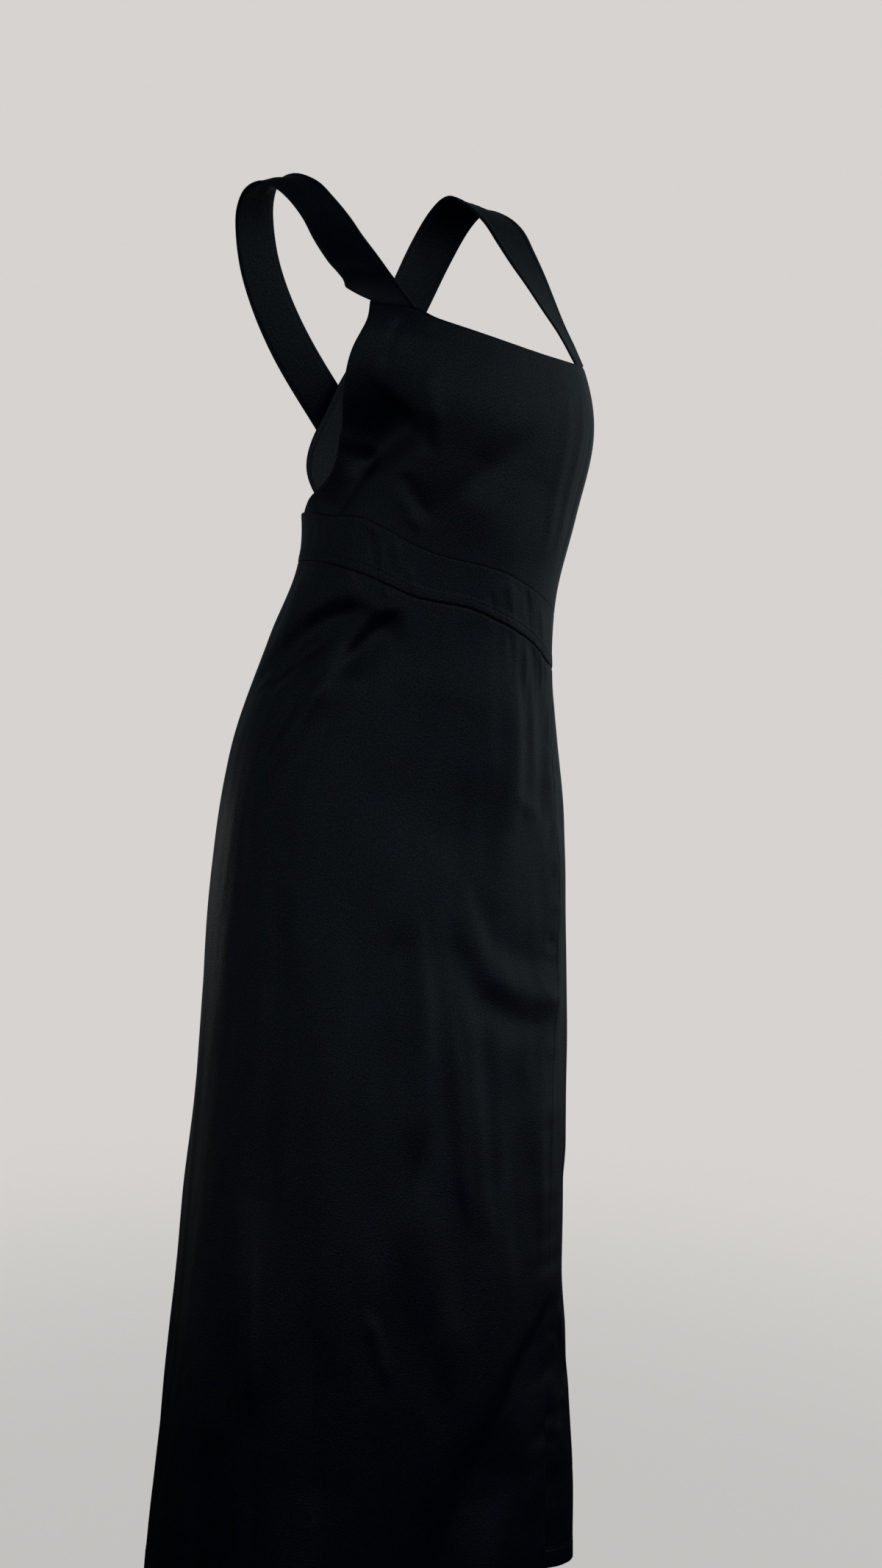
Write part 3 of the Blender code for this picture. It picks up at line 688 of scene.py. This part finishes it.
CORNER_WIDTH = 5
# The nominal size for which the lines of its grid are spaced.
BIB_WIDTH = 0.26
BIB_DEPTH = 0.19
BIB_STEP = 0.0032
BIB_SLACK = 0.0004


def neckline(turn):
    """The bib's top edge, which sags a little from corner to corner."""
    corners = BIB_EDGES[0]
    share = (turn - corners["right"]) / (corners["left"] - corners["right"])
    return BIB_TOP - NECKLINE_SAG * np.sin(np.pi * share)


across = stations(BIB_WIDTH, BIB_STEP, (0.0, BIB_WIDTH))
down = stations(BIB_DEPTH, BIB_STEP, (0.0, BIB_DEPTH))
share = np.repeat(across[None, :], len(down), axis=0)
fall = np.repeat(down[:, None], len(across), axis=1)
right = read_curve(BIB_EDGES, "down", fall, "right")
left = read_curve(BIB_EDGES, "down", fall, "left")
turn = right + (left - right) * share
# The edge curves up into the inner edge of the right strap.
top = neckline(turn) + CORNER_RISE * np.exp(-((turn - CORNER_TURN) / CORNER_WIDTH) ** 2)
level = top + (BAND_TOP - top) * fall
out = creases(turn, level, BIB_CREASES) + unevenness(turn, level, BIB_SLACK)
points, thickness = finish_edges(hang(turn, level, out), seams=(("bottom", BIB_SEAM),),
                                 faced=("top", "right", "left"))
bib = sew_panel("bib_panel", points, thickness, satin)
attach(bib, "root")
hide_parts("bib_front")

# ---- Shoulder straps ----
# Flat tubes of the same satin, 41 mm wide, pressed and edge-stitched. They are caught behind the bib's
# top corners, cross on the back with the right one on top, and are sewn to the back waistband.

STRAP_WIDTH = 0.041
STRAP_CLOTH = 0.0020
STRAP_CROWN = 0.0005
STRAP_ROUND = 0.006
STRAP_DIP = 0.0003
STRAP_DIP_WIDTH = 0.0008
STRAP_PRESSED = 0.002
STRAP_STITCH_IN = 0.0035
TUCKED_IN = -0.0008
TUCKED_UP = 0.0002
# Each strap's sections from front to back: its middle, and how far its outer edge drops below the inner
# one and lies behind it.
STRAP_COLUMNS = ("x", "y", "z", "outer_drop", "outer_back")
RIGHT_STRAP = in_metres(STRAP_COLUMNS, (
    (-70, -118, -94, 3, 20),
    (-75, -100, -77, 6, 19),
    (-77, -77, -58, 5, 14),
    (-78, -57, -40, 4, 8),
    (-83, -39, -23, 5, 4),
    (-90, -22, -9, 10, -1),
    (-100, -4, -2, 13, -10),
    (-106, 15, -8, 13, -10),
    (-103, 34, -30, 12, -8),
    (-87, 50, -75, 16, -4),
    (-56, 60, -128, 22, 0),
    (-10, 61, -190, 24, 2),
    (36, 44, -258, 23, 6),
))
LEFT_STRAP = in_metres(STRAP_COLUMNS, (
    (129, -113, -127, 7, 24),
    (124, -98, -106, 7, 20),
    (120, -82, -84, 7, 14),
    (117, -65, -63, 6, 7),
    (114, -48, -42, 4, 3),
    (111, -31, -22, 2, 1),
    (104, -13, -7, 4, 1),
    (95, 7, 1, 10, -2),
    (89, 26, -10, 12, -6),
    (78, 42, -40, 14, -8),
    (60, 51, -85, 18, -4),
    (34, 52, -135, 22, 0),
    (0, 47, -190, 23, 2),
    (-33, 27, -258, 22, 6),
))


def bib_top_point(turn):
    """A point just behind the bib's top edge."""
    turn = np.array([float(turn)])
    level = neckline(turn)
    return hang(turn, level, creases(turn, level, BIB_CREASES) + TUCKED_IN, TUCKED_UP)[0]


def band_top_point(turn):
    return hang(np.array([float(turn)]), np.array([BAND_TOP]), TUCKED_IN, TUCKED_UP)[0]


def run_along(line):
    """The distance along a line to each of its points."""
    return np.concatenate([[0.0], np.cumsum(np.linalg.norm(np.diff(line, axis=0), axis=1))])


def points_at(at, run, values):
    """The values given along a line, read at other distances along it."""
    return np.stack([np.interp(at, run, values[:, axis]) for axis in range(3)], axis=-1)


def make_strap(name, node, rows, outer_sign, bib_ends, band_ends, length, corner):
    """A strap through its sections, from the bib to the back waistband. Its outer corner at the bib is
    rounded to a radius."""
    lines = []
    for share, bib_end, band_end in zip((-0.5, 0.0, 0.5), bib_ends, band_ends):
        line = [bib_end]
        for row in rows:
            drop = row["outer_drop"]
            back = row["outer_back"]
            aside = math.sqrt(STRAP_WIDTH ** 2 - drop ** 2 - back ** 2)
            across = np.array([outer_sign * aside, back, -drop])
            line.append(np.array([row["x"], row["y"], row["z"]]) + across * share)
        line.append(band_end)
        line = np.array(line)
        run = run_along(line)
        places = [{"run": at, 0: point[0], 1: point[1], 2: point[2]} for at, point in zip(run, line)]
        at = np.linspace(0, run[-1], 400)
        lines.append(np.stack([read_curve(places, "run", at, axis) for axis in range(3)], axis=-1))
    inner_edge, middle, outer_edge = lines
    columns = []
    for share in stations(STRAP_WIDTH, 0.004,
                          (0.0, STRAP_STITCH_IN, STRAP_WIDTH - STRAP_STITCH_IN, STRAP_WIDTH)):
        near = max(1 - 2 * share, 0.0)
        far = max(2 * share - 1, 0.0)
        column = inner_edge * near + outer_edge * far + middle * (1 - near - far)
        run = run_along(column)
        past = max((share - 1) * STRAP_WIDTH + corner, 0.0)
        start = corner - math.sqrt(corner ** 2 - past ** 2)
        at = start + (run[-1] - start) * stations(length, 0.0042, (0.0,))
        columns.append(points_at(at, run, column))
    grid = np.stack(columns, axis=1)
    if outer_sign < 0:
        grid = grid[:, ::-1]
    inset = np.minimum(edge_distance(grid, 1), edge_distance(grid, 1, True))
    crown = STRAP_CROWN * soft_step(inset / STRAP_ROUND)
    crown = crown - STRAP_DIP * np.exp(-((inset - STRAP_STITCH_IN) / STRAP_DIP_WIDTH) ** 2)
    points = grid + face_out(grid) * (STRAP_CLOTH / 2 + crown - STRAP_DIP)[..., None]
    thinned = STRAP_CROWN * soft_step((STRAP_PRESSED - inset) / STRAP_PRESSED)
    thickness = np.full(points.shape[:2], STRAP_CLOTH) - thinned
    strap = sew_panel(name, points, thickness, satin)
    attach(strap, "root")
    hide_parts(node)
    return points


right_corner = bib_top_point(-44)
right_strap_points = make_strap(
    "right_shoulder_strap", "strap_right", RIGHT_STRAP, -1,
    (bib_top_point(-28), right_corner, right_corner + np.array([-0.018, 0.009, 0.008])),
    (band_top_point(119), band_top_point(132), band_top_point(145)), length=0.66, corner=0.014)
left_strap_points = make_strap(
    "left_shoulder_strap", "strap_left", LEFT_STRAP, 1,
    (bib_top_point(38), bib_top_point(45.5), bib_top_point(53)),
    (band_top_point(192), band_top_point(179), band_top_point(166)), length=0.63, corner=0.001)

# ---- Stitching ----
# Rows of machine stitches in matching black polyester thread, about eight to 25 mm: along the hem, the
# slit's two edges, the waistband above its seam and both edges of each strap. They sit down in the cloth.

STITCH_PITCH = 0.0031
STITCH_LENGTH = 0.0024
THREAD_RADIUS = 0.00018
STITCH_SHAPE = (
    {"along": -0.50, "radius": 0.4, "raised": -0.7}, {"along": -0.30, "radius": 1.0, "raised": 0.3},
    {"along": 0.30, "radius": 1.0, "raised": 0.3}, {"along": 0.50, "radius": 0.4, "raised": -0.7},
)
thread = bpy.data.materials.new("black_polyester_thread")
thread.use_nodes = True
tree = thread.node_tree
shader = tree.nodes["Principled BSDF"]
place = add_node(tree, "ShaderNodeTexCoord")
# The thread's twist is 0.3 mm long. Its lit and shaded plies are painted into its colour as a fine
# alternation of light and dark, and the plies are also drawn in its roughness and bump.
plies = add_node(tree, "ShaderNodeTexNoise", [(place.outputs["Object"], "Vector")],
                 _Scale=3300, _Detail=1.0)
# Painted light and shade: the dark stop is the shaded side of a ply, and the light stop is its lit side.
tone = add_node(tree, "ShaderNodeValToRGB", [(plies.outputs[0], 0)])
tone.color_ramp.elements[0].color = from_hex("#060a15")
tone.color_ramp.elements[1].color = from_hex("#121b2e")
tree.links.new(tone.outputs[0], shader.inputs["Base Color"])
shine = add_node(tree, "ShaderNodeMapRange", [(plies.outputs[0], 0)], _3=0.30, _4=0.55)
tree.links.new(shine.outputs[0], shader.inputs["Roughness"])
relief = add_node(tree, "ShaderNodeBump", [(plies.outputs[0], "Height")],
                  _Strength=0.5, _Distance=0.00005)
tree.links.new(relief.outputs[0], shader.inputs["Normal"])


def inset_line(points, edge, inset):
    """The line on the cloth a set distance in from an edge, and the cloth's outward direction on it."""
    grid = np.concatenate([points, face_out(points)], axis=-1)
    if edge in ("right", "left"):
        grid = grid.transpose(1, 0, 2)
    distance = edge_distance(grid[..., :3], 0, edge in ("bottom", "left"))
    line = []
    for column in range(grid.shape[1]):
        near_first = np.argsort(distance[:, column])
        line.append([np.interp(inset, distance[near_first, column], grid[near_first, column, part])
                     for part in range(6)])
    line = np.array(line)
    return line[:, :3], line[:, 3:]


def stitch(name, node, lines):
    """Short spindles of thread, a few faces each, spaced along lines on the cloth."""
    spindles = []
    for line, outward in lines:
        run = run_along(line)
        middle = np.arange(STITCH_PITCH, run[-1] - STITCH_PITCH, STITCH_PITCH)
        tangent = np.gradient(line, run, axis=0)
        across = np.cross(tangent, outward)
        rings = []
        for row in STITCH_SHAPE:
            at = middle + row["along"] * STITCH_LENGTH
            centre, up, side = (points_at(at, run, part) for part in (line, outward, across))
            centre = centre + up * row["raised"] * THREAD_RADIUS
            reach = row["radius"] * THREAD_RADIUS
            rings.append(np.stack([centre + side * reach, centre + up * reach,
                                   centre - side * reach, centre - up * reach], axis=1))
        spindles.append(np.stack(rings, axis=1))
    spindles = np.concatenate(spindles)
    count, ring_count, around = spindles.shape[:3]
    number = np.arange(count * ring_count * around).reshape(count, ring_count, around)
    beside = np.roll(number, -1, axis=2)
    walls = np.stack([number[:, :-1], number[:, 1:], beside[:, 1:], beside[:, :-1]], axis=-1)
    ends = np.concatenate([number[:, 0], number[:, -1, ::-1]])
    stitches = add_mesh(name, spindles.reshape(-1, 3), np.concatenate([walls.reshape(-1, 4), ends]), thread)
    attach(stitches, "root")
    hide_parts(node)


def slit_line(points, edge):
    """The stitched line down one edge of the slit, from just above where it opens."""
    line, outward = inset_line(points, edge, SLIT_HEM - STITCH_IN)
    below = line[:, 2] < SLIT_TOP
    return line[below], outward[below]


for side, points, slit_edge in (("front", front_skirt_points, "left"),
                                ("back", back_skirt_points, "right")):
    stitch(side + "_skirt_stitches", "skirt_" + side,
           (inset_line(points, "bottom", SKIRT_HEM - STITCH_IN), slit_line(points, slit_edge)))
for side, points in (("front", front_band_points), ("back", back_band_points)):
    stitch(side + "_waistband_stitches", "waistband_" + side,
           [inset_line(points, "bottom", TOPSTITCH_UP)])
for side, points in (("right", right_strap_points), ("left", left_strap_points)):
    stitch(side + "_strap_stitches", "strap_" + side,
           [inset_line(points, edge, STRAP_STITCH_IN) for edge in ("right", "left")])

# ---- Studio ----
# A pale seamless paper floor that fades into a pale room, with two soft panels of light behind the dress.
# None of it is part of the dress.

FLOOR_LEVEL = -1.47
bpy.ops.object.select_all(action="DESELECT")
bpy.ops.mesh.primitive_circle_add(vertices=96, radius=3.0, fill_type="NGON", location=(0, 0, FLOOR_LEVEL))
floor = bpy.context.object
floor.name = "studio_floor"
paper = bpy.data.materials.new("matt_backdrop_paper")
paper.use_nodes = True
tree = paper.node_tree
paper_shader = tree.nodes["Principled BSDF"]
surface = tree.nodes["Material Output"]
paper_shader.inputs["Base Color"].default_value = from_hex("#dedad7")
paper_shader.inputs["Roughness"].default_value = 0.9
paper_shader.inputs["Emission Color"].default_value = from_hex("#d6d3d0")
paper_shader.inputs["Emission Strength"].default_value = 0.75
where = add_node(tree, "ShaderNodeTexCoord")
reach = add_node(tree, "ShaderNodeVectorMath", [(where.outputs["Object"], 0)], operation="LENGTH")
fade = add_node(tree, "ShaderNodeMapRange", [(reach.outputs["Value"], 0)],
                interpolation_type="SMOOTHSTEP", _1=0.7, _2=2.2, _3=1.0, _4=0.0)
tree.links.new(fade.outputs[0], paper_shader.inputs["Alpha"])
# The cloth sees the floor as a glow with the dress's shadow painted in: dark close by, lighter further off.
lit = add_node(tree, "ShaderNodeMapRange", [(reach.outputs["Value"], 0)],
               _1=1.1, _2=3.0, _3=0.001, _4=0.065)
shade = add_node(tree, "ShaderNodeEmission", [(lit.outputs[0], 1)], _Color=(0.92, 1.0, 1.0, 1.0))
ray = add_node(tree, "ShaderNodeLightPath")
shown = add_node(tree, "ShaderNodeMixShader", [
    (ray.outputs["Is Camera Ray"], 0), (shade.outputs[0], 1), (paper_shader.outputs[0], 2)])
tree.links.new(shown.outputs[0], surface.inputs[0])
floor.data.materials.append(paper)

world = bpy.data.worlds.new("pale_room")
bpy.context.scene.world = world
world.use_nodes = True
tree = world.node_tree
tree.nodes.clear()
# Pale walls light the dress between a dim ceiling and a floor in shadow. They are brightest off its front
# left and dim behind it. The rows are heights, the sine of the angle above level, or turns, each with
# its light.
ROOM_LEVELS = (
    (-1.00, 0.003), (-0.55, 0.010), (-0.40, 0.050), (-0.28, 0.140), (-0.10, 0.215), (0.30, 0.215),
    (0.75, 0.12), (0.90, 0.02), (1.00, 0.003),
)
ROOM_SIDES = (
    (-180, 0.30), (-130, 0.28), (-90, 0.46), (-30, 0.82), (25, 0.92), (60, 1.12), (100, 0.90),
    (130, 0.45), (150, 0.18), (168, 0.25), (180, 0.30),
)
WALL_TINT = (0.82, 1.02, 1.06)
direction = add_node(tree, "ShaderNodeTexCoord")
along = add_node(tree, "ShaderNodeSeparateXYZ", [(direction.outputs["Generated"], 0)])
rise_share = add_node(tree, "ShaderNodeMapRange", [(along.outputs[2], 0)], _1=-1.0, _2=1.0)
toward = add_node(tree, "ShaderNodeMath", [(along.outputs[1], 0)], operation="MULTIPLY", _1=-1.0)
turned = add_node(tree, "ShaderNodeMath", [(along.outputs[0], 0), (toward.outputs[0], 1)],
                  operation="ARCTAN2")
turn_share = add_node(tree, "ShaderNodeMapRange", [(turned.outputs[0], 0)], _1=-math.pi, _2=math.pi)
walls = add_node(tree, "ShaderNodeValToRGB", [(rise_share.outputs[0], 0)])
around = add_node(tree, "ShaderNodeValToRGB", [(turn_share.outputs[0], 0)])
for ramp, rows in ((walls, [((height + 1) / 2, light) for height, light in ROOM_LEVELS]),
                   (around, [(angle / 360 + 0.5, light) for angle, light in ROOM_SIDES])):
    points = ramp.color_ramp.elements
    while len(points) < len(rows):
        points.new(0.5)
    for point, (place, light) in zip(points, rows):
        point.position = place
        point.color = (*(light * tint for tint in WALL_TINT), 1.0)
ray = add_node(tree, "ShaderNodeLightPath")
wall = add_node(tree, "ShaderNodeBackground", _Color=from_hex("#d6d3d0"), _Strength=1.0)
room = add_node(tree, "ShaderNodeBackground", [(walls.outputs[0], 0), (around.outputs[0], 1)])
seen = add_node(tree, "ShaderNodeMixShader",
                [(ray.outputs["Is Camera Ray"], 0), (room.outputs[0], 1), (wall.outputs[0], 2)])
add_node(tree, "ShaderNodeOutputWorld", [(seen.outputs[0], 0)])

# The panels light the dress's edges from behind, on the left and right of someone facing it.
LIGHTS = (
    {"name": "right_panel", "place": (1.4, 1.3, -0.2), "aim": (0.0, 0.0, -0.5),
     "size": 1.0, "spread": 180, "power": 0.3},
    {"name": "left_panel", "place": (-0.45, 1.10, -0.72), "aim": (-0.10, 0.12, -0.68),
     "size": 0.30, "spread": 30, "power": 0.005},
)
for row in LIGHTS:
    lamp = bpy.data.lights.new(row["name"], "AREA")
    lamp.size = row["size"]
    lamp.spread = math.radians(row["spread"])
    lamp.energy = row["power"]
    holder = bpy.data.objects.new(row["name"], lamp)
    holder.visible_camera = False
    holder.location = row["place"]
    beam = Vector(row["aim"]) - Vector(row["place"])
    holder.rotation_euler = beam.to_track_quat("-Z", "Y").to_euler()
    bpy.context.scene.collection.objects.link(holder)

# The camera stands level with the waist, off the wearer's front right, tipped down a little.
AZIMUTH = math.radians(-30)
PITCH = math.radians(6)
ROLL = math.radians(2)
CAMERA_BACK = 1.771
CAMERA_ASIDE = 0.073
CAMERA_LEVEL = -0.335
ahead = Vector((-math.sin(AZIMUTH), math.cos(AZIMUTH), 0))
aside = Vector((math.cos(AZIMUTH), math.sin(AZIMUTH), 0))
look = ahead * math.cos(PITCH) - Vector((0, 0, math.sin(PITCH)))
rise = aside.cross(look)
rolled = aside * math.cos(ROLL) + rise * math.sin(ROLL)
rise = rolled.cross(look)
lens = bpy.data.cameras.new("shop_camera")
lens.sensor_fit = "VERTICAL"
lens.sensor_height = 24.0
lens.lens = 30.098454
camera = bpy.data.objects.new("shop_camera", lens)
stand = aside * CAMERA_ASIDE - ahead * CAMERA_BACK + Vector((0, 0, CAMERA_LEVEL))
matrix = np.eye(4)
for column, axis in enumerate((rolled, rise, -look, stand)):
    matrix[:3, column] = axis
camera.matrix_world = matrix.T.tolist()
bpy.context.scene.collection.objects.link(camera)
bpy.context.scene.camera = camera
bpy.context.scene.view_settings.view_transform = "Standard"
